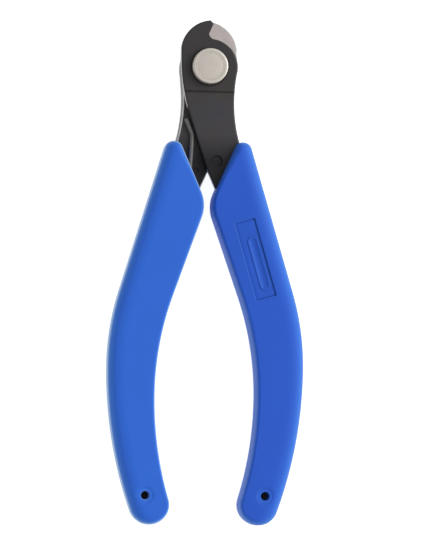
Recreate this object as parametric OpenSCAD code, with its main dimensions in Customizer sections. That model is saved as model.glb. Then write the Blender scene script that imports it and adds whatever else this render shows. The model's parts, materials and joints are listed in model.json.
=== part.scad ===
// Bypass cutting pliers with parrot-beak jaws, two lapped blades on one rivet, moulded grips and a
// wire return spring. The tool lies flat: +Z is the pivot axis, +Y points to the jaws, and the
// origin is under the middle of its outline, on the surface that it rests on.
// Both blades are one stamping: the back blade is the front blade turned over about the Y axis.

/* [Blades] */
// Thickness of each blade plate
plate_t = 3; // [2.6:0.1:3.4]
// Gap between the two lapped plates
lap_gap = 0.04; // [0.02:0.01:0.08]
// Radius of the round hub about the pivot
hub_r = 9.3; // [9:0.1:9.6]
// Radius of the outer curve of the beak
beak_r = 10.4; // [10.2:0.1:10.6]
// Radius of the corner at the bottom of the cutting notch
notch_r = 1.7; // [1.5:0.1:1.9]
// Radius of the waist between the hub and the grip
waist_r = 50; // [46:1:56]
// Slope of the cutting bevel from the pivot axis
bevel_angle = 12; // [8:1:16]
// Distance from the pivot to the line where the outer face starts to thin
relief_start = 8.1; // [7.5:0.1:9]
// How much thinner the tang is than the head
relief_drop = 0.5; // [0.2:0.1:0.8]

/* [Pivot rivet] */
// Radius of the rivet's shank
rivet_r = 3.2; // [2.8:0.1:3.4]
// Radius of the turned front head at the blade
head_r = 5.9; // [5.5:0.05:6]
// Height of the front head above the blade
head_h = 2.8; // [1.6:0.1:2.9]
// Radius of the formed back head
tail_r = 5; // [4.4:0.1:5.4]
// Height of the formed back head
tail_h = 1.6; // [1:0.1:2.2]
// Running clearance on the radius
pivot_gap = 0.05; // [0.02:0.01:0.09]

/* [Grips] */
// Thickness of each moulded grip
grip_t = 12; // [11.6:0.1:13]
// Half of the tool's width over the grips
half_width = 32.05; // [31.5:0.05:32.5]
// Distance from the pivot back to the widest place
widest_y = 98; // [97:0.5:99]
// Radius of the outer curve before the widest place
upper_r = 85; // [82:1:88]
// Radius of the outer curve behind the widest place
lower_r = 138; // [134:1:142]
// Radius of the palm-side inner curve before the narrowest place
palm_r = 98; // [96:1:100]
// Radius of the inner curve behind the narrowest place
inner_r = 114; // [110:1:118]
// Radius of the round end
end_r = 6.5; // [6.3:0.1:6.8]
// Half of the gap between the grips where they come closest
hump_gap = 1.25; // [1:0.05:1.6]
// Radius of the hump that faces the other grip
hump_r = 11.5; // [10:0.5:13]
// Distance the tang stays inside the grip's outline
wall = 3.4; // [3.2:0.1:3.6]
// Radius of the support-pin holes at the grip ends
pin_hole_r = 1.4; // [1.2:0.1:1.6]
// Width of the blank panel on the right grip
panel_w = 7.3; // [6:0.1:7.4]
// Length of the blank panel
panel_l = 26.6; // [20:0.2:27]
// Depth of the blank panel
panel_d = 0.5; // [0.2:0.1:0.6]

/* [Return spring] */
// Diameter of the spring wire
wire_d = 1.4; // [1.2:0.1:1.4]
// Radius of the post that the wire's eye turns on
post_r = 1; // [0.9:0.1:1]
// Length of the straight leg
leg_l = 16; // [15.4:0.1:16]
// Length of the bent tip
tip_l = 5.5; // [5:0.1:5.8]
// Angle of the bent tip from the leg
tip_bend = 26; // [24:1:28]
// Lean of the leg towards the other handle
leg_lean = 3.3; // [2.3:0.1:3.3]

/* [Hidden] */
$fn = 64;
tiny = 0.02;                       // moulding gap between grip and tang
reach = 200;                       // larger than the tool, for cutting blocks
post_x = -7.85;
post_y = -38;
wire_r = wire_d / 2;
eye_r = post_r + pivot_gap + wire_r;
wire_z = lap_gap + wire_r + tiny;
top_y = -24.4;                     // top edge of the grips
hump_y = -45.5;
pin_hole = [19.5, -139.5];
panel_at = [15.45, -62.8];
panel_turn = 16.5;
dimple_at = [2.8, -30.8];
dimple_r = 1.85;
dimple_d = 0.5;
mark_at = [-3.75, -33.7];          // small round mark on the back tang
mark_r = 0.85;
mark_d = 0.3;
beak_c = [1, 4.9];                 // centre of the beak's outer curve
beak_x = -9.3;                     // flat side of the beak
beak_tip = [1.2, 14.1];            // cutting corner of the beak
notch_x = 0.2;                     // deepest place of the cutting notch
notch_c = [notch_x + notch_r, sqrt(pow(hub_r + notch_r, 2) - pow(notch_x + notch_r, 2))];
notch_turn = atan2(notch_c[1], notch_c[0]);
shank_r = 59.3;                    // long curve of the shank's inner edge
shank_turn = 16.8;                 // slope of the shank and of the grip's outer edge
upper_c = [half_width - upper_r, -widest_y];
lower_c = [half_width - lower_r, -widest_y];
hump_c = [hump_gap + hump_r, hump_y];
hump_turn = 23.5;                  // slope of the edge that faces the V
palm_turn = 20;                    // slope of the edge behind the hump
end_y = -142.6;
end_x = lower_c[0] + sqrt(pow(lower_r - end_r, 2) - pow(end_y - lower_c[1], 2));
end_c = [end_x, end_y];
inner_y = -107.5;
inner_c = [end_x - sqrt(pow(inner_r + end_r, 2) - pow(end_y - inner_y, 2)), inner_y];
end_turn = atan2(lower_c[1] - end_y, end_x - lower_c[0]);
inner_turn = atan2(inner_y - end_y, end_x - inner_c[0]);
palm_c = [inner_c[0] + inner_r - palm_r, inner_y];
mid_y = (beak_c[1] + beak_r + end_y - end_r) / 2;

function arc(c, r, a, b, n = 8) =
    [for (i = [0:n]) c + r * [cos(a + (b - a) * i / n), sin(a + (b - a) * i / n)]];

// Centre of a corner of radius r between the top edge and a side line with outward normal angle a
function corner(c, side_r, a, r) =
    [(c * [cos(a), sin(a)] + side_r - r - (top_y - r) * sin(a)) / cos(a), top_y - r];

// Outline of the right grip below the hump, moved inwards by d, from the outside round to the hump
function grip_back(d) = concat(
    arc(upper_c, upper_r - d, shank_turn, 0, 10),
    arc(lower_c, lower_r - d, -2, -end_turn, 8),
    arc(end_c, end_r - d, -end_turn - 5, -175 - inner_turn, 16),
    arc(inner_c, inner_r + d, -inner_turn, 0, 10),
    arc(palm_c, palm_r + d, 2, palm_turn, 9));

// Whole outline of the right grip, moved inwards by d
function grip_outline(d) = concat(
    arc(corner(hump_c, hump_r, 180 - hump_turn, 2.8), 2.8 - d, 180 - hump_turn, 90, 5),
    arc(corner(upper_c, upper_r, shank_turn, 3), 3 - d, 90, shank_turn, 6),
    grip_back(d),
    arc(hump_c, hump_r - d, 180 + palm_turn, 180 - hump_turn, 12));

// Outline of the blade whose beak is on the left and whose tang runs to the right grip
function blade_outline(gap = 0) = concat(
    arc(beak_c, beak_r, 180 - acos((beak_c[0] - beak_x) / beak_r), 94.5, 14),
    [beak_tip],
    arc(notch_c, notch_r, 180, 180 + notch_turn, 8),
    arc([0, 0], hub_r, notch_turn - 4, -16, 18),
    arc([8.25 + waist_r, -11], waist_r - gap, 170, 180 + shank_turn, 12),
    grip_back(wall - gap),
    [[4.85 - gap, hump_y], [-0.35 - gap, -33.6]],
    arc([beak_x + shank_r, 3], shank_r, 180 + shank_turn, 180, 8));

// Moves the tool from the pivot's own frame to the part's frame
module place() {
    translate([0, -mid_y, grip_t / 2]) children();
}

module plate_2d(gap = 0) {
    polygon(blade_outline(gap));
}

module blade(bore_r) {
    difference() {
        translate([0, 0, lap_gap / 2]) linear_extrude(plate_t - lap_gap / 2) plate_2d();
        cylinder(r = bore_r, h = 3 * plate_t, center = true);
        cutting_bevel();
        shank_relief();
        translate([dimple_at[0], dimple_at[1], plate_t - relief_drop - dimple_d])
            cylinder(r = dimple_r, h = plate_t);
    }
}

// Sloped cut along the straight part of the cutting notch: the edge is on the lapped face
module cutting_bevel() {
    edge_low = [notch_x, notch_c[1]];
    edge_dir = beak_tip - edge_low;
    translate([edge_low[0], edge_low[1], 0])
        rotate([0, 0, atan2(edge_dir[1], edge_dir[0]) - 90])
            rotate([0, -bevel_angle, 0])
                translate([0, -0.4, -plate_t]) cube([6, 8, 4 * plate_t]);
}

// Cut off the outer face: a shallow slope behind the head, then the thinner tang
module shank_relief() {
    slope_end = 26;
    rotate([90, 0, 90]) linear_extrude(reach, center = true)
        polygon([[-relief_start, plate_t], [-slope_end, plate_t - relief_drop],
                 [-reach, plate_t - relief_drop], [-reach, 2 * plate_t],
                 [-relief_start, 2 * plate_t]]);
}

module front_blade() {
    color("dimgray") place() blade(rivet_r + pivot_gap);
}

module back_blade() {
    color("gray") place() rotate([0, 180, 0])
        difference() {
            blade(rivet_r);
            translate([-post_x, post_y, 0])
                cylinder(r = post_r, h = 3 * plate_t, center = true);
            translate([-mark_at[0], mark_at[1], 0])
                cylinder(r = mark_r, h = 2 * mark_d, center = true);
        }
}

module pivot_rivet() {
    under = plate_t + tiny;
    rim = 0.5;
    taper = 0.3;
    color("silver") place() rotate_extrude()
        polygon([
            [0, -plate_t - tail_h], [tail_r - rim, -plate_t - tail_h],
            [tail_r, -plate_t - tail_h + rim], [tail_r, -plate_t],
            [rivet_r, -plate_t], [rivet_r, under],
            [head_r, under], [head_r, under + rim],
            [head_r - taper, under + head_h - rim],
            [head_r - taper - rim, under + head_h], [0, under + head_h]]);
}

// One grip of the right-hand shape: stepped shoulders, tang pocket and support-pin holes
module grip_body() {
    step = [0, 1.1, 2.6];
    half = [grip_t / 2 - 1.6, grip_t / 2 - 0.5, grip_t / 2];
    difference() {
        union()
            for (i = [0:2])
                translate([0, 0, -half[i]])
                    linear_extrude(2 * half[i]) polygon(grip_outline(step[i]));
        translate([pin_hole[0], pin_hole[1], 0])
            cylinder(r = pin_hole_r, h = 2 * grip_t, center = true);
    }
}

// Space for the tang, with the plate on the +Z side
module tang_space() {
    translate([0, 0, -tiny])
        linear_extrude(plate_t + 2 * tiny) plate_2d(tiny);
}

module right_grip() {
    color("royalblue") place()
        difference() {
            grip_body();
            tang_space();
            translate([panel_at[0], panel_at[1], grip_t / 2])
                rotate([0, 0, panel_turn])
                    cube([panel_w, panel_l, 2 * panel_d], center = true);
        }
}

module left_grip() {
    color("royalblue") place()
        difference() {
            rotate([0, 180, 0])
                difference() {
                    grip_body();
                    tang_space();
                }
            spring_space();
        }
}

// Pocket over the tang where the spring's eye and leg swing
module spring_space() {
    room = eye_r + wire_r + 0.25;
    side = [room, 0];
    translate([0, 0, -tiny]) linear_extrude(wire_z + wire_r + 0.25) {
        translate([post_x, post_y]) circle(r = room);
        polygon([[post_x, post_y + room - 1.2], [post_x + eye_r - wire_r - 0.3, top_y],
                 [0, top_y], [0, post_y - room + 0.6], [post_x, post_y - room + 0.05]]);
    }
}

// Straight piece of wire along +Y, with extra length at both ends where it meets the next piece
module wire_leg(length, r, extra = 0) {
    translate([0, -extra, 0]) rotate([-90, 0, 0]) cylinder(r = r, h = length + 2 * extra);
}

// Wire with an eye pressed slightly flat at one end and a bent tip at the other
module return_spring() {
    flat_h = wire_d - 0.1;
    crossing = 0.25;
    tip_r = wire_r - 0.05;
    color("dimgray") place() translate([post_x, post_y, wire_z]) rotate([0, 0, -leg_lean]) {
        difference() {
            cylinder(r = eye_r + wire_r, h = flat_h, center = true);
            cylinder(r = eye_r - wire_r, h = 2 * flat_h, center = true);
        }
        translate([eye_r, 0, 0]) wire_leg(leg_l + crossing, wire_r);
        translate([eye_r, leg_l, 0]) rotate([0, 0, tip_bend]) wire_leg(tip_l, tip_r, crossing);
    }
}

module spring_post() {
    color("gray") place() translate([post_x, post_y, -plate_t + tiny])
        cylinder(r = post_r, h = plate_t + wire_z + wire_r);
}

front_blade();
back_blade();
pivot_rivet();
left_grip();
right_grip();
return_spring();
spring_post();
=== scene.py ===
"""Bypass cutting pliers: two lapped blades, a large rivet, moulded grips and a wire spring."""
import json
import math

import bmesh
import bpy
import numpy as np
from mathutils import Matrix, Vector
from mathutils.geometry import delaunay_2d_cdt

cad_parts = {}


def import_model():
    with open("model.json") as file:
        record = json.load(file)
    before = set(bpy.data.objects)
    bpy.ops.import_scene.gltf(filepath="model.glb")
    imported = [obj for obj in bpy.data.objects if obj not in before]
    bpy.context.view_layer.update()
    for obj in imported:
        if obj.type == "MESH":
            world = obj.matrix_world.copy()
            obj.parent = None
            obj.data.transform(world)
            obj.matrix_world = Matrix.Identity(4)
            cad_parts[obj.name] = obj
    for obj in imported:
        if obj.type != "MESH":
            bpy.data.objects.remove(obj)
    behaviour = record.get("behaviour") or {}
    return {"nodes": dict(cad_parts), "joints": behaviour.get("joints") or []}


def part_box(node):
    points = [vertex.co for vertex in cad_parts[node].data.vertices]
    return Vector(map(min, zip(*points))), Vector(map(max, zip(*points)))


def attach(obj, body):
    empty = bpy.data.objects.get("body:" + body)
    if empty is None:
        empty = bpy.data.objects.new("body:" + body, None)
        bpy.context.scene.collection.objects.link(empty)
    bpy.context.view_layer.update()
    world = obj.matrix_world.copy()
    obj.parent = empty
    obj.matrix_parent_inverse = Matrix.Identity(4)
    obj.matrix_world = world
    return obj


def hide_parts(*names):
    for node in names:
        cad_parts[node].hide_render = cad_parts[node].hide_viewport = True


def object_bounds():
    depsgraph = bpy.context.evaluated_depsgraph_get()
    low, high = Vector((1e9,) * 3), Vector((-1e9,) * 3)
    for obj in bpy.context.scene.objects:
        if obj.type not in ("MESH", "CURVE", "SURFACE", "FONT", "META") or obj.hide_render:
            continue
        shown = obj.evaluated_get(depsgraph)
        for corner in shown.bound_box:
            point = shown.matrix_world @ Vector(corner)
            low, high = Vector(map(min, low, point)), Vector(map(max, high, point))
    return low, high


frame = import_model()
CAD_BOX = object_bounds()

# ---------------------------------------------------------------- sizes, in millimetres and degrees
# Pieces are drawn about the pivot: x to the right handle, y to the jaws, z to the front. Both blades
# and both grips are drawn as those of the right handle; the left handle's are then turned over.
MM = 0.001
SIDE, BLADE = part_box("right_grip"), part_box("front_blade")
PIVOT = Vector(next(j for j in frame["joints"] if j["name"] == "handle_pivot")["pos_m"])
POST = Vector(next(j for j in frame["joints"] if j["name"] == "spring_swing")["pos_m"])
# half the tool's width, half a grip's thickness, the blades' outer faces and their lapped faces
HALF_WIDTH = SIDE[1][0] / MM
GRIP_HALF = (SIDE[1][2] - SIDE[0][2]) / MM / 2
PLATE = BLADE[1][2] / MM - PIVOT.z / MM
LAP = 0.03
UPRIGHT, TURN_OVER = Matrix.Identity(4), Matrix.Rotation(math.pi, 4, "Y")

# grip outline: turns of its straight runs, radii of its arcs, heights of the arcs' centres
SHANK_TURN, HUMP_TURN, PALM_TURN = 16.8, 23.5, 20
UPPER_R, LOWER_R, PALM_R, INNER_R, END_R, HUMP_R = 85, 138, 98, 114, 6.5, 11.5
TOP_INNER_R, TOP_OUTER_R = 2.8, 3.0
HUMP_GAP = 1.25
TOP_Y, HUMP_Y, WIDEST_Y, INNER_Y, END_Y = -24.4, -45.5, -98, -107.5, -142.6

# blade outline: hub, beak, cutting notch, waist on the outer side, shank on the inner side, tang
HUB_R, BEAK_R, NOTCH_R, WAIST_R, SHANK_R = 9.3, 10.4, 1.7, 50, 59.3
BEAK_C, BEAK_X, BEAK_END, BEAK_TIP = np.array([1, 4.9]), -9.3, 94.5, np.array([1.2, 14.1])
NOTCH_X = 0.2
NOTCH_C = np.array([NOTCH_X + NOTCH_R, math.sqrt((HUB_R + NOTCH_R) ** 2 - (NOTCH_X + NOTCH_R) ** 2)])
NOTCH_TURN = math.degrees(math.atan2(NOTCH_C[1], NOTCH_C[0]))
HUB_END = -13.5
WAIST_C, WAIST_START = (8.25 + WAIST_R, -11), 170
SHANK_C = (BEAK_X + SHANK_R, 3)
TANG_WALL = 3.4
TANG_ROOT = ((4.85, HUMP_Y), (-0.35, -33.6))

# blade details: cutting bevel, lapped side's chamfer, die-rolled outer edge, thinned shank, recesses
BEVEL, BEVEL_LOW_Y, BEVEL_GROUND = 0.4, 6.6, 0.05
CHAMFER, LIP, ROLL = 0.32, 0.5, 0.2
BEVEL_CHAMFER, BEVEL_LIP, BEVEL_ROLL = 0.02, 0.12, 0.12
FLAT_EDGE = 0.2
BACK_FLARE = 0.45
RELIEF_START, RELIEF_END, RELIEF_DROP, RELIEF_STEP = -8.1, -26, 0.5, 1.2
# inner side of the shank, out of the light: its walls are given oxide with painted shade instead of bright
# sheared steel
SHADED_X, SHADED_Y = 4.5, -13.5
# y range over which painted shade darkens the blades' oxide towards the grips
DARK_START, DARK_END = -22, -31
GROUND_END = -9.2
DIMPLE, DIMPLE_R, DIMPLE_D = (2.8, -30.8), 1.85, 0.7
MARK, MARK_R, MARK_D = (3.75, -33.7), 0.85, 0.3
TANG = PLATE - RELIEF_DROP

# rivet with its seat and bore; spring wire with its eye, leg and bent tip
RIVET_R, RIVET_H, RIVET_SHANK_R, SEAT_D, BORE_GAP = 5.9, 2.8, 3.2, 0.12, 0.05
WIRE_R, WIRE_CHAMFER, EYE_R, BEND_R = 0.7, 0.12, 1.75, 3.0
LEG, LEG_LEAN, TIP, TIP_BEND = 16, 3.3, 5.5, 26

# grip section: shoulders, crowned faces, the front face's roll-off, wall rings as (inset, height)
PALM_SHOULDER, OUTER_SHOULDER, SHOULDER_H, FLAT_SIDE = 1.05, 2.7, 3.5, 2.3
SHOULDER_CHANGE = (4, 12)
CROWN, CROWN_WIDTH = 0.08, 5.5
ROLL_WIDTH, ROLL_DROP = 5.2, 1.25
SEAM_OUT = 0.035
WALL_INSET = 0.06
POCKET_TOP = 1.71
SIDE_STEPS = ((0.0, 0.14), (0.03, POCKET_TOP), (WALL_INSET, FLAT_SIDE))
TOP_GAP = GRIP_HALF - (FLAT_SIDE + SHOULDER_H + CROWN)
RING_LIMIT, RING_COUNT = 2.6, 12
FREE_STEP = 1.0

# grip details: pin hole, blank panel with a raised pad, pocket for the spring
PIN_HOLE, PIN_HOLE_R = (19.5, -139.5), 1.4
PANEL, PANEL_SIZE, PANEL_TURN, PANEL_D, PANEL_R = (15.45, -62.8), (7.3, 26.6), 16.5, 0.5, 0.35
ALONG = np.array([math.sin(math.radians(PANEL_TURN)), -math.cos(math.radians(PANEL_TURN))])
PAD, PAD_SIZE = np.array(PANEL) + 1.5 * ALONG + 0.75 * np.array([-ALONG[1], ALONG[0]]), (3.4, 18.0)
POCKET_ROOM, POCKET_MOUTH, POCKET_SIDE_X = 2.7, (-31.6, -40.3), 9

# material slots of a blade and of a grip
OXIDE_SLOT, GROUND_SLOT, SHEARED_SLOT = 0, 1, 2
PLASTIC_SLOT, TANG_SLOT = 0, 1


# ---------------------------------------------------------------- plane geometry
def unit(angle):
    """Unit vector at an angle in degrees."""
    a = math.radians(angle)
    return np.array([math.cos(a), math.sin(a)])


def arc(centre, r, start, end, step=0.8, count=None):
    """Points on an arc: `count` steps, or one about every `step` millimetres."""
    n = count or max(2, int(abs(math.radians(end - start)) * max(r, 0.5) / step))
    return [np.asarray(centre, float) + r * unit(start + (end - start) * i / n) for i in range(n + 1)]


UPPER_C = np.array([HALF_WIDTH - UPPER_R, WIDEST_Y])
LOWER_C = np.array([HALF_WIDTH - LOWER_R, WIDEST_Y])
HUMP_C = np.array([HUMP_GAP + HUMP_R, HUMP_Y])
END_X = LOWER_C[0] + math.sqrt((LOWER_R - END_R) ** 2 - (END_Y - WIDEST_Y) ** 2)
END_C = np.array([END_X, END_Y])
INNER_C = np.array([END_X - math.sqrt((INNER_R + END_R) ** 2 - (END_Y - INNER_Y) ** 2), INNER_Y])
PALM_C = INNER_C + [INNER_R - PALM_R, 0]
END_TURN = math.degrees(math.atan2(WIDEST_Y - END_Y, END_X - LOWER_C[0]))
INNER_TURN = math.degrees(math.atan2(INNER_Y - END_Y, END_X - INNER_C[0]))


def line_corner(centre, side_r, angle, r):
    """Centre of a corner of radius r between the top edge and a side line."""
    n = unit(angle)
    x = (np.dot(centre, n) + side_r - r - (TOP_Y - r) * n[1]) / n[0]
    return np.array([x, TOP_Y - r])


def straight(a, b, step=1.5):
    """Points between a and b, without the ends."""
    a, b = np.asarray(a, float), np.asarray(b, float)
    n = max(1, int(np.linalg.norm(b - a) / step))
    return [a + (b - a) * i / n for i in range(1, n)]


def chain(*runs):
    """Joins arcs with straight lines into one closed outline, with points along long lines too."""
    long_line, same = 2.2, 0.02
    pts = []
    for run, after in zip(runs, runs[1:] + runs[:1]):
        pts += run
        if np.linalg.norm(np.asarray(run[-1]) - after[0]) > long_line:
            pts += straight(run[-1], after[0])
    keep = [pts[0]]
    for p in pts[1:]:
        if np.linalg.norm(p - keep[-1]) > same:
            keep.append(p)
    return np.array(keep)


def grip_back(d):
    """Outer side, round end and palm of the grip as arcs, moved inwards by d."""
    return [
        arc(UPPER_C, UPPER_R - d, SHANK_TURN, 0, count=20),
        arc(LOWER_C, LOWER_R - d, -0.6, -END_TURN, count=36),
        arc(END_C, END_R - d, -END_TURN - 4, -176 - INNER_TURN, count=30),
        arc(INNER_C, INNER_R + d, -INNER_TURN, 0, count=26),
        arc(PALM_C, PALM_R + d, 0.7, PALM_TURN, count=26),
    ]


def grip_outline(d):
    """Outline of the right grip, moved inwards by d; every d gives the same number of points."""
    inner = line_corner(HUMP_C, HUMP_R, 180 - HUMP_TURN, TOP_INNER_R)
    outer = line_corner(UPPER_C, UPPER_R, SHANK_TURN, TOP_OUTER_R)
    runs = [
        arc(inner, TOP_INNER_R - d, 180 - HUMP_TURN, 90, count=10),
        arc(outer, TOP_OUTER_R - d, 90, SHANK_TURN, count=11),
        *grip_back(d),
        arc(HUMP_C, HUMP_R - d, 180 + PALM_TURN, 180 - HUMP_TURN, count=20),
    ]
    line_steps = {1: 30, 6: 16, 7: 9}
    pts = []
    for i, run in enumerate(runs):
        pts += run
        if i in line_steps:
            after, n = runs[(i + 1) % len(runs)][0], line_steps[i]
            pts += [run[-1] + (after - run[-1]) * k / n for k in range(1, n)]
    return np.array(pts)


def blade_outline():
    """The blade, with its beak on the left and its tang to the right."""
    start = 180 - math.degrees(math.acos((BEAK_C[0] - BEAK_X) / BEAK_R))
    beak = arc(BEAK_C, BEAK_R, start, BEAK_END, step=0.5)
    low = NOTCH_C - [NOTCH_R, 0]
    edge = [BEAK_TIP] + straight(BEAK_TIP, low, 0.4)
    notch = arc(NOTCH_C, NOTCH_R, 180, 180 + NOTCH_TURN, step=0.2)
    hub = arc((0, 0), HUB_R, NOTCH_TURN - 2, HUB_END, step=0.4)
    waist = arc(WAIST_C, WAIST_R, WAIST_START, 180 + SHANK_TURN)
    tang = grip_back(TANG_WALL)
    root = [np.array(p) for p in TANG_ROOT]
    shank = arc(SHANK_C, SHANK_R, 180 + SHANK_TURN, 180)
    return chain(beak, edge, notch, hub, waist, *tang, root, shank)


def bevel_width(p):
    """Width of the cutting bevel at an outline point: none at the tip, widest in the notch."""
    x, y = p
    if x < 0 or y < BEVEL_LOW_Y or y > BEAK_TIP[1] + 0.05:
        return 0.0
    tip = min(1, (BEAK_TIP[1] - y) / 3)
    hub = min(1, max(0.3, (y - 8.6) / 1.6))
    return BEVEL * tip ** 0.7 * hub


def flare_width(outline, flare):
    """Extra width along the waist: fades in below the hub and out again under the grip."""
    x, y = outline[:, 0], outline[:, 1]
    below_hub, above_grip = np.clip((2.5 - y) / 8, 0, 1), np.clip((y + 31) / 4, 0, 1)
    return flare * below_hub * above_grip * np.clip((x - 6) / 1.5, 0, 1)


def inset(pts, d):
    """Moves a closed outline inwards by d at each point (a number or one per point), with mitres."""
    d = np.broadcast_to(np.asarray(d, float), len(pts))
    before = pts - np.roll(pts, 1, 0)
    after = np.roll(pts, -1, 0) - pts
    before /= np.linalg.norm(before, axis=1)[:, None]
    after /= np.linalg.norm(after, axis=1)[:, None]
    area = np.sum(pts[:, 0] * np.roll(pts[:, 1], -1) - np.roll(pts[:, 0], -1) * pts[:, 1])
    sign = 1 if area > 0 else -1
    n1 = np.c_[-before[:, 1], before[:, 0]] * sign
    n2 = np.c_[-after[:, 1], after[:, 0]] * sign
    mid = n1 + n2
    scale = np.maximum(np.sum(mid * n1, axis=1), 0.5)
    return pts + mid / scale[:, None] * d[:, None]


def distance(p, pts):
    """Distance from points p to the closed outline pts."""
    a, b = pts, np.roll(pts, -1, 0)
    ab = b - a
    ap = p[:, None, :] - a[None]
    t = np.clip(np.sum(ap * ab, axis=2) / np.sum(ab * ab, axis=1), 0, 1)
    return np.min(np.linalg.norm(ap - t[..., None] * ab, axis=2), axis=1)


def inside(p, pts):
    """Which points p lie inside the closed outline pts."""
    a, b = pts, np.roll(pts, -1, 0)
    y = p[:, 1][:, None]
    cross = (a[:, 1] > y) != (b[:, 1] > y)
    with np.errstate(divide="ignore", invalid="ignore"):
        x = a[:, 0] + (y - a[:, 1]) * (b[:, 0] - a[:, 0]) / (b[:, 1] - a[:, 1])
    return np.sum(cross & (p[:, 0][:, None] < x), axis=1) % 2 == 1


def nearest(pts, y, allowed):
    """Index of the point nearest to height y, among the allowed ones."""
    return int(np.argmin(np.where(allowed, np.abs(pts[:, 1] - y), np.inf)))


def line_inside(pts, y):
    """The stretch of the line at height y inside an outline, ending just short of it."""
    short = 0.02
    xs = []
    for a, b in zip(pts, np.roll(pts, -1, 0)):
        if (a[1] > y) != (b[1] > y):
            xs.append(a[0] + (y - a[1]) * (b[0] - a[0]) / (b[1] - a[1]))
    return [(min(xs) + short, y), (max(xs) - short, y)]


# ---------------------------------------------------------------- mesh building
class Solid:
    """Collects rings of points into one closed mesh, in millimetres about the pivot. Each point has
    an edge value for its material: above 0 it is lighter, from wear or bare metal or as a painted
    highlight; below 0 it is darker, as painted shade."""

    def __init__(self):
        self.bm = bmesh.new()
        self.edge = self.bm.verts.layers.float.new("edge")

    def ring(self, pts, z, edge=0.0):
        """A ring of points; z and edge are one number each, or one per point."""
        z = np.broadcast_to(np.asarray(z, float), len(pts))
        edge = np.broadcast_to(np.asarray(edge, float), len(pts))
        out = []
        for p, h, e in zip(pts, z, edge):
            v = self.bm.verts.new((p[0], p[1], h))
            v[self.edge] = e
            out.append(v)
        return out

    def wall(self, low, high, material=0, skip=()):
        """Joins two rings point by point, leaving out the stretches in skip."""
        n = len(low)
        for i in range(n):
            if i in skip:
                continue
            f = self.bm.faces.new((low[i], low[(i + 1) % n], high[(i + 1) % n], high[i]))
            f.material_index = material

    def walls(self, rings):
        """Joins each ring to the next."""
        for low, high in zip(rings, rings[1:]):
            self.wall(low, high)

    def cap(self, rings, height, extra=(), cuts=(), material=None):
        """Fills the first ring, with the others as holes. Points in extra and on the lines in cuts
        are added, and take their z from height; material picks a face's slot by its centre."""
        pts, edges, verts = [], [], []
        for ring in rings:
            k, n = len(pts), len(ring)
            pts += [Vector(v.co[:2]) for v in ring]
            edges += [(k + i, k + (i + 1) % n) for i in range(n)]
            verts += ring
        for cut in cuts:
            k = len(pts)
            pts += [Vector(c) for c in cut]
            edges += [(k + i, k + i + 1) for i in range(len(cut) - 1)]
        pts += [Vector(e) for e in extra]
        out_pts, _, faces, source = delaunay_2d_cdt(pts, edges, [], 0, 1e-5)[:4]
        made = []
        for co, src in zip(out_pts, source):
            old = next((s for s in src if s < len(verts)), None)
            if old is None:
                made.append(self.bm.verts.new((co.x, co.y, height(co.x, co.y))))
            else:
                made.append(verts[old])
        outlines = [np.array([v.co[:2] for v in ring]) for ring in rings]
        centres = np.array([np.mean([out_pts[i] for i in f], axis=0) for f in faces])
        keep = inside(centres, outlines[0])
        for hole in outlines[1:]:
            keep &= ~inside(centres, hole)
        for f, c, k in zip(faces, centres, keep):
            if not k:
                continue
            try:
                face = self.bm.faces.new([made[i] for i in f])
            except ValueError:
                continue
            face.material_index = material(c) if material else 0

    def object(self, name, materials, smooth, turn=UPRIGHT):
        """Makes the finished object, in metres, smooth up to an angle in degrees."""
        bm = self.bm
        loose = [v for v in bm.verts if not v.link_faces]
        bmesh.ops.delete(bm, geom=loose, context="VERTS")
        bmesh.ops.recalc_face_normals(bm, faces=bm.faces)
        bm.transform(Matrix.Translation(PIVOT) @ turn @ Matrix.Scale(MM, 4))
        mesh = bpy.data.meshes.new(name)
        bm.to_mesh(mesh)
        bm.free()
        for mat in materials:
            mesh.materials.append(mat)
        mesh.shade_smooth()
        mesh.set_sharp_from_angle(angle=math.radians(smooth))
        obj = bpy.data.objects.new(name, mesh)
        bpy.context.scene.collection.objects.link(obj)
        return obj


def hex_points(low, high, step):
    """Evenly spread points over a rectangle, in rows that are offset by half a step."""
    row = step * 0.866
    pts = []
    for j in range(int((high[1] - low[1]) / row) + 1):
        y = low[1] + j * row
        x = low[0] + (step / 2 if j % 2 else 0)
        while x < high[0]:
            pts.append((x, y))
            x += step
    return np.array(pts)


def circle(c, r, n=48):
    """n points on a circle."""
    return np.array([np.asarray(c) + r * unit(360 * i / n) for i in range(n)])


def round_rect(c, size, turn, r, d=0.0, n=5):
    """A turned rectangle with rounded corners, moved inwards by d."""
    w, h = size[0] / 2 - r, size[1] / 2 - r
    pts = []
    for sx, sy, start in ((1, 1, 0), (-1, 1, 90), (-1, -1, 180), (1, -1, 270)):
        pts += arc((sx * w, sy * h), max(r - d, 0.02), start, start + 90, count=n)
    a = math.radians(turn)
    rot = np.array([[math.cos(a), -math.sin(a)], [math.sin(a), math.cos(a)]])
    return np.array(pts) @ rot.T + np.asarray(c)


# ---------------------------------------------------------------- grips
def from_outer(x, y):
    """Distance from the grip's outer side: a straight run at the top, then the long curve."""
    centre, r = (UPPER_C, UPPER_R) if y > WIDEST_Y else (LOWER_C, LOWER_R)
    dx, dy = x - centre[0], y - centre[1]
    n = unit(SHANK_TURN)
    if dy * n[0] > dx * n[1]:
        return r - (dx * n[0] + dy * n[1])
    return r - math.hypot(dx, dy)


def shoulder(p):
    """Width of the rounded shoulder at an outline point: narrow on the palm side, wide outside."""
    start, end = SHOULDER_CHANGE
    t = min(1, max(0, (from_outer(*p) - start) / (end - start)))
    return OUTER_SHOULDER + (PALM_SHOULDER - OUTER_SHOULDER) * t


def grip_height(d, width=OUTER_SHOULDER):
    """Height of the grip's surface above its middle plane, d inwards from the outline."""
    d = np.asarray(d, float) - WALL_INSET
    t = np.clip(1 - d / width, 0, 1)
    base = FLAT_SIDE + SHOULDER_H * np.sqrt(np.clip(1 - t ** 2.2, 0, 1))
    return base + CROWN * (1 - np.clip(1 - d / CROWN_WIDTH, 0, 1) ** 2) + TOP_GAP


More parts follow.
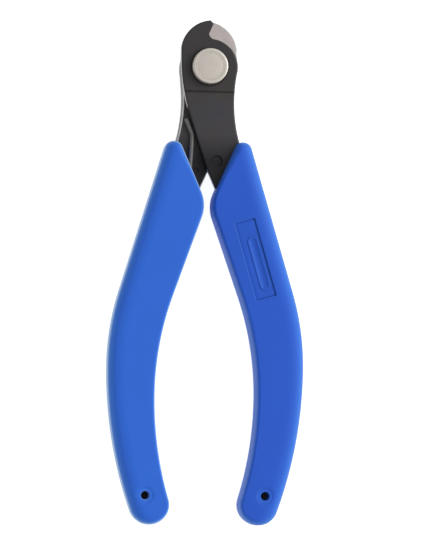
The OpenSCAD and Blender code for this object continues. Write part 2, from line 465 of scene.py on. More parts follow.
def drape(ring, height, offset):
    """Puts a ring on the surface that height describes, shifted by an offset."""
    for v in ring:
        v.co.z = height(*v.co[:2]) + offset
    return ring


def pin_hole(s, height, side, bottom):
    """A pin hole down to the tang, in a shallow round seat; returns the ring it leaves in the face."""
    seat = 0.1
    # edge values paint shade (below 0) and highlight (above 0) round the pin hole's seat
    profile = [(PIN_HOLE_R + 1.15, 0, 0.0), (PIN_HOLE_R + 1.02, -seat, -0.35),
               (PIN_HOLE_R + 0.85, -seat, 0.3), (PIN_HOLE_R + 0.3, -seat, 0.55),
               (PIN_HOLE_R + 0.06, -seat - 0.1, 0.2), (PIN_HOLE_R, -seat - 0.4, -0.3)]
    rings = [drape(s.ring(circle(PIN_HOLE, r), 0, edge), height, side * drop) for r, drop, edge in profile]
    rings.append(s.ring(circle(PIN_HOLE, PIN_HOLE_R - 0.06), bottom))
    s.walls(rings)
    s.cap([rings[-1]], lambda x, y: bottom, material=lambda c: TANG_SLOT)
    return rings[0]


def shrink_ring(ring, d):
    """Pulls a ring of the panel inwards by d, keeping its points in step with the outer ring."""
    corner = 0.5
    a = math.radians(PANEL_TURN)
    ux, uy = np.array([math.cos(a), math.sin(a)]), np.array([-math.sin(a), math.cos(a)])
    for v in ring:
        p = np.array(v.co[:2]) - PANEL
        x, y = np.dot(p, ux), np.dot(p, uy)
        x -= math.copysign(d, x) * (abs(x) > PANEL_SIZE[0] / 2 - corner)
        y -= math.copysign(d, y) * (abs(y) > PANEL_SIZE[1] / 2 - corner)
        v.co.x, v.co.y = np.array(PANEL) + x * ux + y * uy


def panel_recess(s, height, free):
    """The blank panel with its raised pad; returns its outer ring and the free points outside it."""
    # edge values paint highlight on the panel's lip and shade in its groove
    steps = ((0, 0, 0.0), (0.08, 0.0, 0.6), (0.16, 0.08, 0.6), (0.24, PANEL_D, -1.0),
             (0.5, PANEL_D + 0.12, -1.0), (0.8, PANEL_D, 0.0))
    box = round_rect(PANEL, PANEL_SIZE, PANEL_TURN, PANEL_R)
    rings = []
    for d, drop, edge in steps:
        ring = s.ring(box, 0, edge)
        shrink_ring(ring, d)
        rings.append(drape(ring, height, -drop))
    s.walls(rings)
    pad = []
    # the pad's foot is painted with shade, its rim with highlight
    for d, rise, edge in ((0, 0, -0.5), (0.1, 0.2, 0.3), (0.35, 0.24, 0.3), (0.5, 0.12, -0.3)):
        line = round_rect(PAD, PAD_SIZE, PANEL_TURN, PAD_SIZE[0] / 2 - 0.05, d, n=10)
        pad.append(drape(s.ring(line, 0, edge), height, rise - PANEL_D))
    s.walls(pad)
    s.cap([pad[-1]], lambda x, y: height(x, y) - PANEL_D + rise)
    within = inside(free, box)
    pad_line = np.array([v.co[:2] for v in pad[0]])
    bottom = free[within & (distance(free, box) > 1.4)]
    bottom = bottom[~inside(bottom, pad_line) & (distance(bottom, pad_line) > 0.5)]
    s.cap([rings[-1], pad[0]], lambda x, y: height(x, y) - PANEL_D, extra=bottom)
    return rings[0], free[~(within | (distance(free, box) < 0.7))]


def spring_pocket(s, levels, outline):
    """Opens the wall that faces the other grip, with room for the spring's eye and leg behind it.
    Returns the stretches of wall to leave out."""
    post = np.array([POST.x - PIVOT.x, POST.y - PIVOT.y]) / MM * [-1, 1]
    high, low = (nearest(outline, y, outline[:, 0] < POCKET_SIDE_X) for y in POCKET_MOUTH)
    n = len(outline)
    mouth = [(low + k) % n for k in range((high - low) % n + 1)]
    path = straight(outline[high], post + [0, POCKET_ROOM], 0.8)
    path += arc(post, POCKET_ROOM, 90, -90, count=14)
    path += straight(post - [0, POCKET_ROOM], outline[low], 0.8)
    columns = [[level[high] for level in levels]]
    heights = [sum(v.co.z for v in level) / n for level in levels]
    for p in path:
        columns.append([s.bm.verts.new((p[0], p[1], z)) for z in heights])
    columns.append([level[low] for level in levels])
    for a, b in zip(columns, columns[1:]):
        for k in range(len(levels) - 1):
            s.bm.faces.new((a[k], b[k], b[k + 1], a[k + 1]))
    for k, slot in ((0, TANG_SLOT), (len(levels) - 1, PLASTIC_SLOT)):
        ring = [levels[k][i] for i in mouth] + [c[k] for c in columns[1:-1]]
        s.cap([ring], lambda x, y: heights[k], material=lambda c, slot=slot: slot)
    return set(mouth[:-1])


def roll_off(s, front):
    """Lowers the front face in a smooth curve towards its outer side."""
    for v in s.bm.verts:
        h = v.co.z * front - FLAT_SIDE
        if h > 0:
            drop = ROLL_DROP * max(0, 1 - max(0, from_outer(*v.co[:2])) / ROLL_WIDTH) ** 2
            v.co.z -= front * drop * min(1, h / (GRIP_HALF - FLAT_SIDE))


def grip(name, materials, front, panel=False, pocket=False, turn=UPRIGHT):
    """One moulded grip: side wall with a parting line, rounded shoulders, crowned faces, pin holes.
    front is 1 or -1, the side that ends up in front."""
    s = Solid()
    outline = grip_outline(0)
    inwards = [WALL_INSET + (RING_LIMIT - WALL_INSET) * (k / RING_COUNT) ** 1.9
               for k in range(1, RING_COUNT + 1)]
    widths = np.array([shoulder(p) for p in outline])
    seam = s.ring(grip_outline(-SEAM_OUT), 0)
    free = hex_points(outline.min(0), outline.max(0), FREE_STEP)
    free = free[inside(free, outline)]
    free = free[distance(free, outline) > RING_LIMIT + 0.45]
    for side, tang in ((1, TANG), (-1, -LAP)):
        def height(x, y):
            return side * float(grip_height(distance(np.array([[x, y]]), outline)[0]))

        levels = [seam] + [s.ring(grip_outline(d), side * z) for d, z in SIDE_STEPS]
        gap = spring_pocket(s, levels[:3], outline) if pocket and side == front else ()
        for k, (a, b) in enumerate(zip(levels, levels[1:])):
            s.wall(a, b, skip=gap if k < 2 else ())
        rings = [s.ring(grip_outline(d), side * grip_height(d, widths)) for d in inwards]
        s.walls([levels[-1], *rings])
        holes = [pin_hole(s, height, side, tang)]
        rest = free[np.linalg.norm(free - PIN_HOLE, axis=1) > PIN_HOLE_R + 1.8]
        if panel and side == front:
            ring, rest = panel_recess(s, height, rest)
            holes.append(ring)
        s.cap([rings[-1], *holes], height, extra=rest)
    roll_off(s, front)
    return s.object(name, materials, 50, turn)


# ---------------------------------------------------------------- blades
def plate_top(y):
    """Height of the blade's outer face: full at the head, easing down behind the bend line."""
    t = min(1, max(0, (RELIEF_START - y) / (RELIEF_START - RELIEF_END)))
    return PLATE - RELIEF_DROP * (1 - (1 - t) ** 2)


def recess(s, centre, r, z, depth, side, dark):
    """A round blind recess with a slightly rounded lip, painted with shade on its wall and floor as
    strong as dark; returns the ring it leaves in the face.
    """
    lip = 0.1
    profile = ((r + lip, 0, 0.0), (r, 0.07, -0.3 * dark), (r - 0.05, depth, -dark),
               (r - 0.3, depth, -0.9 * dark), (r - 0.55, depth + 0.02, -0.25 * dark))
    rings = [s.ring(circle(centre, a, 40), z - side * b, e) for a, b, e in profile]
    s.walls(rings)
    s.cap([rings[-1]], lambda x, y: z - side * (depth + 0.02))
    return rings[0]


def bore(s, r, z, edge):
    """A ring about the pivot."""
    return s.ring(circle((0, 0), r, 72), z, edge)


def outer_face(s, flat, line):
    """The face away from the other blade: a seat for the rivet's head, a bend line across, slopes
    down to the shank, and the dimple. Returns the lowest ring of the seat."""
    crease = []
    for side in (-1, 1):
        k = nearest(line, RELIEF_START, line[:, 0] * side >= 0)
        line[k, 1], flat[k].co.y, flat[k].co.z = RELIEF_START, RELIEF_START, PLATE
        crease.append(tuple(line[k]))
    # painted shade: the rings darken towards the rivet's head, a ring of shade about its seat
    seat = ((RIVET_R + 1.0, 0, 0.0), (RIVET_R + 0.5, 0, -0.45), (RIVET_R + 0.25, 0, -0.85),
            (RIVET_R + 0.15, SEAT_D, -1.0), (RIVET_SHANK_R + BORE_GAP, SEAT_D + 0.01, -1.0))
    rings = [bore(s, r, PLATE - z, edge) for r, z, edge in seat]
    s.walls(rings)
    dimple = recess(s, DIMPLE, DIMPLE_R, plate_top(DIMPLE[1]), DIMPLE_D, 1, 0.7)
    rows = np.arange(RELIEF_START - RELIEF_STEP, RELIEF_END, -RELIEF_STEP)
    s.cap([flat, rings[0], dimple], lambda x, y: plate_top(y),
          cuts=[crease] + [line_inside(line, y) for y in rows])
    return rings[-1]


def lapped_face(s, low, line, seat, mark):
    """The flat face towards the other blade, ground bright over the head, with the bore."""
    through = bore(s, RIVET_SHANK_R + BORE_GAP, LAP, 0.0)
    s.wall(seat, through)
    holes = [through]
    if mark:
        holes.append(recess(s, MARK, MARK_R, LAP, MARK_D, -1, 0.3))
    s.cap([low, *holes], lambda x, y: LAP, cuts=[line_inside(line, GROUND_END)],
          material=lambda c: GROUND_SLOT if c[1] > GROUND_END else OXIDE_SLOT)


def blade(name, materials, mark=False, flare=0.0, turn=UPRIGHT):
    """One blade, from the chamfer on its lapped face, up its sheared edge or cutting bevel, to the
    rolled edge of its outer face. A flare widens the chamfer along the waist."""
    s = Solid()
    outline = blade_outline()
    bevel = np.array([bevel_width(p) for p in outline])
    wide = flare_width(outline, flare)
    outline = inset(outline, -wide)
    cutting = bevel > 0
    chamfer = np.where(cutting, BEVEL_CHAMFER, CHAMFER + wide)
    lip = np.where(cutting, BEVEL_LIP, LIP)
    roll = np.where(cutting, BEVEL_ROLL, ROLL)
    lapped, limit, line = (inset(outline, d) for d in (chamfer, bevel + lip, bevel + lip + FLAT_EDGE))
    tops, tops_in, face = (np.array([plate_top(p[1]) for p in ring]) for ring in (outline, limit, line))
    # edge values: 1.0 marks edges with wear; -0.7 and -0.3 paint shade on the shaded walls
    shaded = (outline[:, 0] < SHADED_X) & (outline[:, 1] < SHADED_Y)
    edge_marks = np.where(shaded, -0.7, 1.0)
    low_in = s.ring(lapped, LAP, np.where(shaded, -0.7, 0.3))
    low = s.ring(outline, LAP + chamfer, edge_marks)
    high = s.ring(inset(outline, bevel), tops - roll, edge_marks)
    rolled = s.ring(inset(outline, bevel + 0.35 * lip), tops_in - 0.35 * roll, np.where(shaded, -0.3, 0.3))
    high_in = s.ring(limit, tops_in)
    flat = s.ring(line, face)
    s.wall(low_in, low, SHEARED_SLOT)
    for i in range(len(outline)):
        k = (i + 1) % len(outline)
        f = s.bm.faces.new((low[i], low[k], high[k], high[i]))
        plain = OXIDE_SLOT if shaded[i] else SHEARED_SLOT
        f.material_index = GROUND_SLOT if max(bevel[i], bevel[k]) > BEVEL_GROUND else plain
    s.walls([high, rolled, high_in, flat])
    seat = outer_face(s, flat, line)
    lapped_face(s, low_in, lapped, seat, mark)
    obj = s.object(name, materials, 30, turn)
    sharpen(obj.data, RELIEF_START)
    return obj


def sharpen(mesh, y):
    """Keeps the crease across the outer face at height y sharp."""
    at, near = PIVOT.y + y * MM, 2e-6
    for e in mesh.edges:
        a, b = (mesh.vertices[i].co for i in e.vertices)
        if abs(a.y - at) < near and abs(b.y - at) < near:
            e.use_edge_sharp = True


# ---------------------------------------------------------------- turned parts and wire
def lathe(name, profile, materials, steps=96):
    """Turns a profile of (radius, z, edge) points about the pivot, with a flat disc at each end."""
    s = Solid()
    rings = [s.ring(circle((0, 0), r, steps), z, edge) for r, z, edge in profile]
    s.walls(rings)
    s.bm.faces.new(rings[0])
    s.bm.faces.new(rings[-1])
    return s.object(name, materials, 40)


def rivet(name, materials):
    """Turned front head with a stepped rim, shank, and formed back head. Its edge values paint
    highlight on the rim and the face's steps, and shade in fine ring lines and at the head's foot.
    """
    top, low, back = PLATE + RIVET_H, PLATE - SEAT_D, -PLATE
    head = [(1.0, top, 0), (4.0, top, 0), (4.12, top - 0.012, -0.25), (4.24, top - 0.012, -0.1),
            (4.36, top, 0.4), (4.5, top, 0), (4.62, top - 0.015, -0.4), (4.78, top - 0.015, -0.2),
            (4.9, top, 0.6), (5.05, top, 0), (5.45, top - 0.01, 0.2), (5.63, top - 0.06, 0.3),
            (5.74, top - 0.2, 0.3), (5.79, top - 0.5, 0.2), (5.82, low + 1.0, 0), (5.85, low + 0.55, -0.3),
            (RIVET_R, low + 0.3, -1), (RIVET_R, low, -1), (RIVET_SHANK_R, low, -1)]
    tail = [(RIVET_SHANK_R, -low, -1), (4.9, -low, -1), (5.0, back - 0.3, 0), (4.9, back - 1.1, 0),
            (4.7, back - 1.4, 0), (4.4, back - 1.55, 0), (3.2, back - 1.6, 0)]
    return lathe(name, head + tail, materials)


def wire(name, path, r, materials, sides=20):
    """Round wire along a path, with slightly chamfered ends."""
    s = Solid()
    path = [Vector(p) for p in path]
    rings = []
    for i, p in enumerate(path):
        t = (path[min(i + 1, len(path) - 1)] - path[max(i - 1, 0)]).normalized()
        side = Vector((0, 0, 1)).cross(t).normalized()
        up = t.cross(side)
        spots = [(p, 1.0)]
        if i == 0:
            spots = [(p, 0.8), (p + t * WIRE_CHAMFER, 1.0)]
        elif i == len(path) - 1:
            spots = [(p - t * WIRE_CHAMFER, 1.0), (p, 0.8)]
        for c, k in spots:
            ring = []
            for j in range(sides):
                a = 2 * math.pi * j / sides
                v = s.bm.verts.new(c + (side * math.cos(a) + up * math.sin(a)) * r * k)
                v[s.edge] = 1.0 if k < 1 else 0.0
                ring.append(v)
            rings.append(ring)
    s.walls(rings)
    s.bm.faces.new(rings[0])
    s.bm.faces.new(rings[-1])
    return s.object(name, materials, 40)


def spring(name, materials):
    """Eye round the post, straight leg and bent tip, in one piece of wire."""
    cut = BEND_R * math.tan(math.radians(TIP_BEND / 2))
    path = arc((0, 0), EYE_R, -300, -10, count=29)
    path += [np.array([EYE_R, (LEG - cut) * i / 12]) for i in range(12)]
    path += arc((EYE_R - BEND_R, LEG - cut), BEND_R, 0, TIP_BEND, count=8)
    along = unit(90 + TIP_BEND)
    path += [path[-1] + along * (TIP - cut) * i / 5 for i in range(1, 6)]
    lean = Matrix.Rotation(math.radians(-LEG_LEAN), 2)
    centre = (POST - PIVOT) / MM
    placed = [(*(lean @ Vector(p) + centre.xy), centre.z) for p in path]
    return wire(name, placed, WIRE_R, materials)


# ---------------------------------------------------------------- materials
class Nodes:
    """A short way to write a shader tree."""

    def __init__(self, name):
        self.mat = bpy.data.materials.new(name)
        self.mat.use_nodes = True
        self.tree = self.mat.node_tree
        self.bsdf = next(n for n in self.tree.nodes if n.type == "BSDF_PRINCIPLED")
        coord = self.tree.nodes.new("ShaderNodeTexCoord")
        self.place = coord.outputs["Object"]

    def link(self, source, target):
        """Links an output to an input."""
        self.tree.links.new(source, target)

    def new(self, kind, inputs=None, **settings):
        """A new node; an input is given a value or another node's output."""
        node = self.tree.nodes.new(kind)
        for key, value in settings.items():
            setattr(node, key, value)
        for key, value in (inputs or {}).items():
            socket = node.inputs[key]
            if isinstance(value, bpy.types.NodeSocket):
                self.link(value, socket)
            else:
                socket.default_value = value
        return node

    def noise(self, scale, detail=3.0, rough=0.55, stretch=None):
        """Noise over the tool; a larger stretch makes it finer along that axis."""
        vector = self.place
        if stretch is not None:
            vector = self.new("ShaderNodeMapping", {"Vector": self.place, "Scale": stretch}).outputs[0]
        node = self.new("ShaderNodeTexNoise", {
            "Vector": vector, "Scale": scale, "Detail": detail, "Roughness": rough})
        return node.outputs["Fac"]

    def ramp(self, fac, low, high, a=0.0, b=1.0):
        """Maps fac from low..high to a..b."""
        node = self.new("ShaderNodeMapRange", {
            "Value": fac, "From Min": low, "From Max": high, "To Min": a, "To Max": b})
        return node.outputs["Result"]

    def maths(self, kind, a, b=0.0):
        """One sum on values or outputs."""
        node = self.new("ShaderNodeMath", {0: a, 1: b}, operation=kind)
        return node.outputs[0]

    def mix(self, fac, a, b):
        """Colour a where fac is 0, b where it is 1."""
        node = self.new("ShaderNodeMix", {"Factor": fac}, data_type="RGBA")
        for socket, value in ((node.inputs[6], a), (node.inputs[7], b)):
            if isinstance(value, bpy.types.NodeSocket):
                self.link(value, socket)
            else:
                socket.default_value = (*value, 1)
        return node.outputs[2]

    def attribute(self, name):
        """A value stored on the mesh's points."""
        return self.new("ShaderNodeAttribute", attribute_name=name).outputs["Fac"]

    def bump(self, height, strength, distance, normal=None):
        """Normal roughened by height, on top of another normal."""
        values = {"Height": height, "Strength": strength, "Distance": distance}
        if normal is not None:
            values["Normal"] = normal
        return self.new("ShaderNodeBump", values).outputs["Normal"]

    def finish(self, **inputs):
        """Sets the shader's inputs and returns the material."""
        for key, value in inputs.items():
            socket = self.bsdf.inputs[key.replace("_", " ")]
            if isinstance(value, bpy.types.NodeSocket):
                self.link(value, socket)
            elif isinstance(value, tuple):
                socket.default_value = (*value, 1)
            else:
                socket.default_value = value
        return self.mat


def grip_material(name, colour, rim):
    """Blue moulded plastic: fine spark-eroded grain, faint flow mottling, lighter specks; a painted sheen
    and a paler painted reflection at glancing angles, painted shade in grooves, painted highlight on lips.
    """
    n = Nodes(name)
    low, high = (tuple(k * c for c in colour) for k in (0.96, 1.04))
    # lip: the colour of the lighter specks and of the painted highlight on raised lips
    lip = tuple(min(1, k * c) for k, c in zip((1.8, 1.7, 1.25), colour))
    painted_groove_shade, painted_sheen, painted_glance_reflection = (0.006, 0.045, 0.30), (0.035, 0.20, 0.64), (0.60, 0.84, 1.0)
    grain = n.noise(5200, 2, 0.5)
    pebble = n.noise(1900, 3, 0.6)
    flow = n.noise(38, 4, 0.55, stretch=(1.6, 0.6, 1))
    specks = n.ramp(n.noise(2600, 1, 0.5), 0.66, 0.74)
    blue = n.mix(n.ramp(flow, 0.3, 0.7), low, high)
    blue = n.mix(n.maths("MULTIPLY", specks, 0.2), blue, lip)
    # painted shade in grooves and seats (edge below 0), painted highlight on lips and rims (edge above 0)
    blue = n.mix(n.ramp(n.attribute("edge"), 0.0, -1.0, 0.0, 0.55), blue, painted_groove_shade)
    blue = n.mix(n.ramp(n.attribute("edge"), 0.0, 1.0, 0.0, 0.6), blue, lip)
    # painted sheen on slanted surfaces and a painted pale reflection at glancing angles, stronger as rim
    # grows
    glance = n.new("ShaderNodeLayerWeight", {"Blend": 0.5}).outputs["Facing"]
    blue = n.mix(n.ramp(glance, 0.05, 0.5, 0.0, 0.5), blue, painted_sheen)
    blue = n.mix(n.ramp(glance, 0.42, 0.86, 0.0, rim), blue, painted_glance_reflection)
    rough = n.ramp(n.maths("ADD", n.maths("MULTIPLY", flow, 0.6), n.maths("MULTIPLY", pebble, 0.4)),
                   0.35, 0.65, 0.46, 0.58)
    normal = n.bump(pebble, 0.25, 0.00005)
    normal = n.bump(grain, 0.35, 0.00003, normal)
    return n.finish(Base_Color=blue, Roughness=rough, Normal=normal, Specular_IOR_Level=0.36,
                    Specular_Tint=(0.45, 0.90, 1.0), Sheen_Weight=0.5 * rim, Sheen_Roughness=0.3)


def oxide_material():
    """Black oxide on fine-blanked steel: satin, faintly brushed, with brown and violet patches. It is
    lighter behind the bend line and where edges have lost their oxide. Painted light makes the shank
    lighter towards the right; painted shade darkens a line along the bend, the plate near the grips,
    the recesses, the rivet's seat and the shaded walls."""
    n = Nodes("black_oxide_steel")
    dull, light, shank_tone = (0.0245, 0.0215, 0.0220), (0.0290, 0.0260, 0.0275), (0.040, 0.0375, 0.0435)
    brown, violet, brush_tone = (0.041, 0.029, 0.026), (0.031, 0.030, 0.045), (0.048, 0.045, 0.046)
    # the next three colours are painted shade: along the bend line, towards the grips, and in the recesses,
    # the rivet's seat and the shaded walls
    crease, shade, painted_shade = (0.006, 0.006, 0.007), (0.006, 0.006, 0.008), (0.006, 0.006, 0.006)
    bare = (0.16, 0.155, 0.15)
    brushed = n.noise(420, 4, 0.6, stretch=(9, 0.7, 1))
    cloud = n.noise(55, 2, 0.5)
    fine = n.noise(4200, 2, 0.5)
    spot = n.new("ShaderNodeSeparateXYZ", {"Vector": n.place}).outputs
    shank = n.ramp(spot["Y"], PIVOT.y + (RELIEF_START + 0.2) * MM, PIVOT.y + RELIEF_START * MM)
    # painted light: the shank's lighter tone grows towards the right, the side the key light comes from
    painted_light_drift = n.ramp(spot["X"], -0.012, 0.008)
    base = n.mix(n.ramp(cloud, 0.3, 0.7), dull, light)
    base = n.mix(n.maths("MULTIPLY", shank, n.ramp(painted_light_drift, 0.0, 1.0, 0.3, 0.9)), base, shank_tone)
    patches = n.noise(150, 3, 0.6)
    base = n.mix(n.ramp(patches, 0.46, 0.68, 0.0, 0.6), base, brown)
    base = n.mix(n.ramp(patches, 0.50, 0.30, 0.0, 0.6), base, violet)
    # painted shade: a thin dark, matt line along the bend line, the shadow of the step down to the shank
    off = n.maths("ABSOLUTE", n.maths("SUBTRACT", spot["Y"], PIVOT.y + (RELIEF_START - 0.1) * MM))
    line = n.ramp(off, 0.00055, 0.00010, 0.0, 0.7)
    base = n.mix(line, base, crease)
    # painted shade: the plate darkens and loses gloss between DARK_START and DARK_END, towards the grips
    painted_grip_shade = n.ramp(spot["Y"], PIVOT.y + DARK_START * MM, PIVOT.y + DARK_END * MM)
    base = n.mix(n.maths("MULTIPLY", painted_grip_shade, 0.85), base, shade)
    base = n.mix(n.maths("MULTIPLY", n.ramp(brushed, 0.5, 0.75), 0.2), base, brush_tone)
    edge_marks = n.maths("MULTIPLY", n.ramp(n.attribute("edge"), 0.35, 1.0), n.ramp(n.noise(700, 3), 0.42, 0.62))
    base = n.mix(n.maths("MULTIPLY", edge_marks, 0.45), base, bare)
    # painted shade where the edge value is below 0: shaded walls, the rivet's seat, the dimple and the mark
    base = n.mix(n.ramp(n.attribute("edge"), 0.0, -1.0), base, painted_shade)
    rough = n.ramp(n.maths("ADD", n.maths("MULTIPLY", cloud, 0.3), n.maths("MULTIPLY", brushed, 0.7)),
                   0.35, 0.65, 0.40, 0.50)
    normal = n.bump(brushed, 0.12, 0.00004)
    normal = n.bump(fine, 0.2, 0.00002, normal)
    # painted shade also dulls the gloss along the bend line and towards the grips
    matt = n.maths("MAXIMUM", line, n.maths("MULTIPLY", painted_grip_shade, 0.6))
    return n.finish(Base_Color=base, Metallic=0.0, Roughness=rough, Normal=normal,
                    Specular_IOR_Level=n.ramp(matt, 0.0, 1.0, 0.42, 0.1))


def sheared_material():
    """Blanked plate edge: grey, with fine marks across the thickness, dark towards the back blade's
    outer face and along the chamfer's corner, with painted shade near the front blade's lapped face,
    between the blades."""
    n = Nodes("sheared_steel_edge")
    marks = n.noise(1400, 4, 0.6, stretch=(1, 1, 0.12))
    cloud = n.noise(300, 3, 0.6)
    base = n.mix(n.ramp(marks, 0.35, 0.65), (0.50, 0.495, 0.49), (0.78, 0.77, 0.76))
    base = n.mix(n.maths("MULTIPLY", n.ramp(cloud, 0.45, 0.7), 0.35), base, (0.30, 0.296, 0.292))
    z = n.new("ShaderNodeSeparateXYZ", {"Vector": n.place}).outputs["Z"]
    back = n.ramp(z, PIVOT.z - 0.45 * PLATE * MM, PIVOT.z - 0.75 * PLATE * MM, 0.0, 0.85)
    # painted shade on the front blade's wall near its lapped face, between the blades
    front = n.maths("MULTIPLY", n.ramp(z, PIVOT.z + 0.6 * PLATE * MM, PIVOT.z + 0.3 * PLATE * MM, 0.0, 0.7),
                    n.ramp(z, PIVOT.z, PIVOT.z + LAP * MM))
    base = n.mix(n.maths("MAXIMUM", back, front), base, (0.10, 0.098, 0.096))
    edge = n.attribute("edge")
    corner = n.maths("MULTIPLY", n.ramp(edge, 0.68, 0.82), n.ramp(edge, 1.0, 0.93))
    base = n.mix(n.maths("MULTIPLY", corner, 0.85), base, (0.09, 0.088, 0.086))
    return n.finish(Base_Color=base, Metallic=0.1, Roughness=n.ramp(marks, 0.3, 0.7, 0.38, 0.55),
                    Normal=n.bump(marks, 0.3, 0.00005))


def ground_material():
    """Bare ground steel: fine parallel grinding lines with a soft, slightly warm sheen."""
    n = Nodes("ground_steel")
    lines = n.noise(900, 4, 0.65, stretch=(1.2, 14, 1))
    cloud = n.noise(160, 3, 0.6)
    base = n.mix(n.ramp(lines, 0.35, 0.65), (0.40, 0.355, 0.345), (0.60, 0.545, 0.535))
    base = n.mix(n.maths("MULTIPLY", n.ramp(cloud, 0.35, 0.6), 0.6), base, (0.62, 0.55, 0.54))
    rough = n.ramp(lines, 0.3, 0.7, 0.30, 0.46)
    return n.finish(Base_Color=base, Metallic=1.0, Roughness=rough,
                    Normal=n.bump(lines, 0.3, 0.00004))


def rivet_material():
    """Turned steel: rings about the pivot, light handling haze, painted highlight on bright edges and
    steps, painted shade in fine ring lines and at the foot of the head.
    """
    n = Nodes("turned_steel")
    centre = n.new("ShaderNodeVectorMath", {0: n.place, 1: tuple(PIVOT)}, operation="SUBTRACT").outputs[0]
    flat = n.new("ShaderNodeVectorMath", {0: centre, 1: (1, 1, 0)}, operation="MULTIPLY").outputs[0]
    radius = n.new("ShaderNodeVectorMath", {0: flat}, operation="LENGTH").outputs["Value"]
    ring_at = n.new("ShaderNodeCombineXYZ", {"X": radius}).outputs[0]
    rings = n.new("ShaderNodeTexNoise", {"Vector": ring_at, "Scale": 5200.0, "Detail": 3.0}).outputs["Fac"]
    cloud = n.noise(480, 4, 0.6)
    base = n.mix(n.ramp(rings, 0.3, 0.7), (0.62, 0.57, 0.51), (0.73, 0.68, 0.62))
    base = n.mix(n.maths("MULTIPLY", n.ramp(cloud, 0.4, 0.65), 0.6), base, (0.60, 0.535, 0.485))
    # painted shade (edge below 0) and painted highlight (edge above 0)
    base = n.mix(n.ramp(n.attribute("edge"), 0.0, -1.0, 0.0, 0.9), base, (0.09, 0.08, 0.065))
    base = n.mix(n.ramp(n.attribute("edge"), 0.0, 1.0, 0.0, 0.6), base, (0.84, 0.79, 0.72))
    rough = n.ramp(cloud, 0.3, 0.7, 0.30, 0.44)
    return n.finish(Base_Color=base, Metallic=0.75, Roughness=rough, Normal=n.bump(rings, 0.22, 0.00004))


def wire_material():
    """Drawn spring wire: dark temper colour with fine lengthwise draw marks."""
    n = Nodes("spring_wire")
    marks = n.noise(1500, 3, 0.6, stretch=(8, 0.5, 8))
    base = n.mix(n.ramp(marks, 0.35, 0.65), (0.105, 0.100, 0.098), (0.165, 0.158, 0.154))
    base = n.mix(n.maths("MULTIPLY", n.attribute("edge"), 0.7), base, (0.42, 0.41, 0.40))
    return n.finish(Base_Color=base, Metallic=0.15, Roughness=n.ramp(marks, 0.3, 0.7, 0.40, 0.54),
                    Normal=n.bump(marks, 0.2, 0.00004))


def floor_material():
    """Pale seamless studio floor with the faintest grain."""
    n = Nodes("pale_floor")
    base = n.mix(n.noise(120, 3), (0.49, 0.49, 0.49), (0.51, 0.51, 0.51))
    seen = n.new("ShaderNodeLightPath").outputs["Is Camera Ray"]
    return n.finish(Base_Color=base, Roughness=0.75, Specular_IOR_Level=0.1,
                    Emission_Color=(1, 1, 1), Emission_Strength=n.ramp(seen, 0.0, 1.0, 0.7, 0.9))


# ---------------------------------------------------------------- the tool
# the same blue plastic twice: the left grip's lighter colour and stronger glancing reflection are painted
# light, the right grip's darker colour painted shade
BLUE_LEFT = grip_material("blue_left", (0.032, 0.139, 0.700), 0.5)
BLUE_RIGHT = grip_material("blue_right", (0.025, 0.098, 0.598), 0.05)
OXIDE, GROUND = oxide_material(), ground_material()
TURNED, WIRE, SHEARED = rivet_material(), wire_material(), sheared_material()
STEEL = [OXIDE, GROUND, SHEARED]


def add(piece, body, node):
    """Puts a piece on its body, in place of a CAD piece."""
    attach(piece, body)
    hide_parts(node)


add(blade("front_blade_forged", STEEL), "right_handle", "front_blade")
add(blade("back_blade_forged", STEEL, mark=True, flare=BACK_FLARE, turn=TURN_OVER),
    "left_handle", "back_blade")
add(rivet("pivot_rivet_turned", [TURNED]), "left_handle", "pivot_rivet")
add(grip("right_grip_moulded", [BLUE_RIGHT, OXIDE], 1, panel=True),
    "right_handle", "right_grip")
add(grip("left_grip_moulded", [BLUE_LEFT, OXIDE], -1, pocket=True, turn=TURN_OVER),
    "left_handle", "left_grip")
add(spring("return_spring_wire", [WIRE]), "spring", "return_spring")
# the CAD's spring post stays, in turned steel
for post_slot in frame["nodes"]["spring_post"].material_slots:
    post_slot.link = "OBJECT"
    post_slot.material = TURNED


# ---------------------------------------------------------------- studio
def floor():
    """A wide floor just under the tool."""
    bm = bmesh.new()
    bmesh.ops.create_grid(bm, x_segments=8, y_segments=8, size=3.0)
    mesh = bpy.data.meshes.new("studio_floor")
    bm.to_mesh(mesh)
    bm.free()
    mesh.materials.append(floor_material())
    obj = bpy.data.objects.new("studio_floor", mesh)
    obj.location.z = CAD_BOX[0][2] - 0.0002
    bpy.context.scene.collection.objects.link(obj)


def area_light(name, place, size, power):
    """A white panel of light, aimed at the middle of the tool."""
    data = bpy.data.lights.new(name, "AREA")
    data.shape, data.size, data.size_y = "RECTANGLE", *size
    data.energy = power
    obj = bpy.data.objects.new(name, data)
    obj.location = place
    obj.rotation_euler = (-Vector(place)).to_track_quat("-Z", "Y").to_euler()
    bpy.context.scene.collection.objects.link(obj)


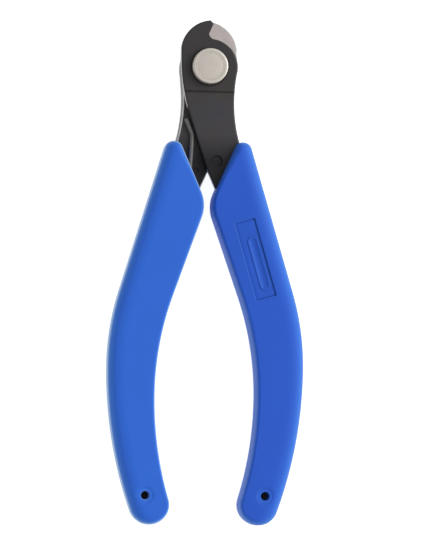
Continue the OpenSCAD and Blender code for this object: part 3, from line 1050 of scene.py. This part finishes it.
def world(left, right):
    """An even white surround that brightens from the left side of the tool to the right."""
    w = bpy.data.worlds.new("studio")
    w.use_nodes = True
    nodes, links = w.node_tree.nodes, w.node_tree.links
    spot = nodes.new("ShaderNodeSeparateXYZ")
    links.new(nodes.new("ShaderNodeTexCoord").outputs["Generated"], spot.inputs[0])
    ramp = nodes.new("ShaderNodeMapRange")
    for key, value in (("From Min", -1.0), ("From Max", 1.0), ("To Min", left), ("To Max", right)):
        ramp.inputs[key].default_value = value
    links.new(spot.outputs["X"], ramp.inputs["Value"])
    shown = nodes.new("ShaderNodeMath")
    shown.operation = "MAXIMUM"
    links.new(ramp.outputs["Result"], shown.inputs[0])
    links.new(nodes.new("ShaderNodeLightPath").outputs["Is Camera Ray"], shown.inputs[1])
    nodes["Background"].inputs["Color"].default_value = (1, 1, 1, 1)
    links.new(shown.outputs[0], nodes["Background"].inputs["Strength"])
    bpy.context.scene.world = w


def camera(distance, side_angle, tilt, roll, lens, aim):
    """Looks down at the tool from a little to its left and towards its grips, jaws at the top."""
    data = bpy.data.cameras.new("camera")
    data.sensor_width, data.lens = 24, lens
    obj = bpy.data.objects.new("camera", data)
    slope = Vector((-math.tan(math.radians(side_angle)), -math.tan(math.radians(tilt)), 1))
    place = Vector((0, 0, PIVOT.z)) + slope * distance
    away = (place - Vector((*aim, PIVOT.z))).normalized()
    right = (Matrix.Rotation(math.radians(roll), 3, "Z") @ Vector((0, 1, 0))).cross(away).normalized()
    axes = Matrix((right, away.cross(right), away)).transposed()
    obj.matrix_world = Matrix.Translation(place) @ axes.to_4x4()
    bpy.context.scene.collection.objects.link(obj)
    bpy.context.scene.camera = obj


floor()
world(left=0.12, right=1.12)
area_light("key", place=(1.40, 0.44, 1.20), size=(1.0, 1.0), power=15.0)
area_light("fill", place=(-0.6, -0.1, 0.8), size=(0.8, 0.8), power=0.4)
area_light("low_left", place=(-1.2, -0.2, 0.06), size=(0.8, 0.06), power=1.2)
camera(distance=0.90, side_angle=7.0, tilt=3.0, roll=0.72, lens=123.8, aim=(0.00557, 0.00075))
view = bpy.context.scene.view_settings
view.view_transform = "Standard"
view.look = "None"
